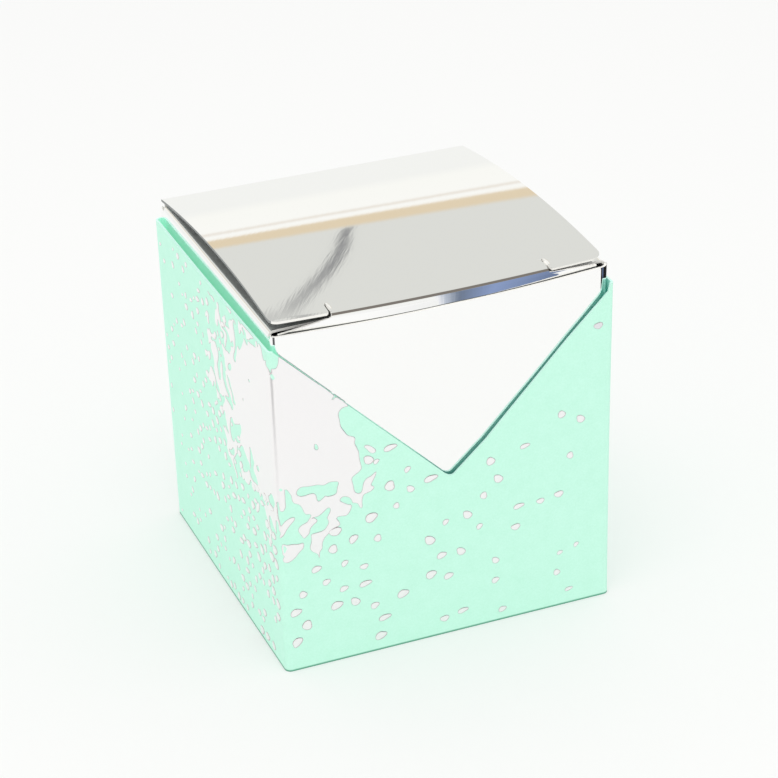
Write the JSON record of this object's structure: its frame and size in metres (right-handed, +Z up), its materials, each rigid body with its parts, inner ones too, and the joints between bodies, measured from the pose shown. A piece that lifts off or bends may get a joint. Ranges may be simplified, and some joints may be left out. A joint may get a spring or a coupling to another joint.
{
  "type": "favor box",
  "caption": "Cube-shaped tuck-top favor box of mirror foil card, standing in an open card sleeve with a wide V notch in front and a foil spatter on one fold.",
  "frame": {"origin": "middle of the base, on the surface that the box stands on", "axes": "+Z up, -Y through the V notch in the front, +X to the right seen from the front"},
  "size_m": [0.0524, 0.0524, 0.0572],
  "materials": {
    "sleeve_card": "matt mint-green card with a fine paper grain",
    "foil_spatter": "thin bright silver foil pressed onto the card",
    "mirror_card": "mirror-bright silver foil outside, plain white card inside and at the cut edges"
  },
  "bodies": {
    "sleeve_part": {"sleeve": "sleeve_card", "foil_print": "foil_spatter"},
    "box_part": {"inner_box": "mirror_card"},
    "lid_part": {"lid": "mirror_card"}
  },
  "joints": [
    {"name": "box_slide", "type": "slide", "parent": "sleeve_part", "child": "box_part", "axis": [0, 0, 1], "range_m": [0, 0.05]},
    {"name": "lid_crease", "type": "hinge", "parent": "box_part", "child": "lid_part", "pos_m": [0, 0.0252, 0.0551], "axis": [-1, 0, 0], "range_deg": [0, 165]}
  ]
}
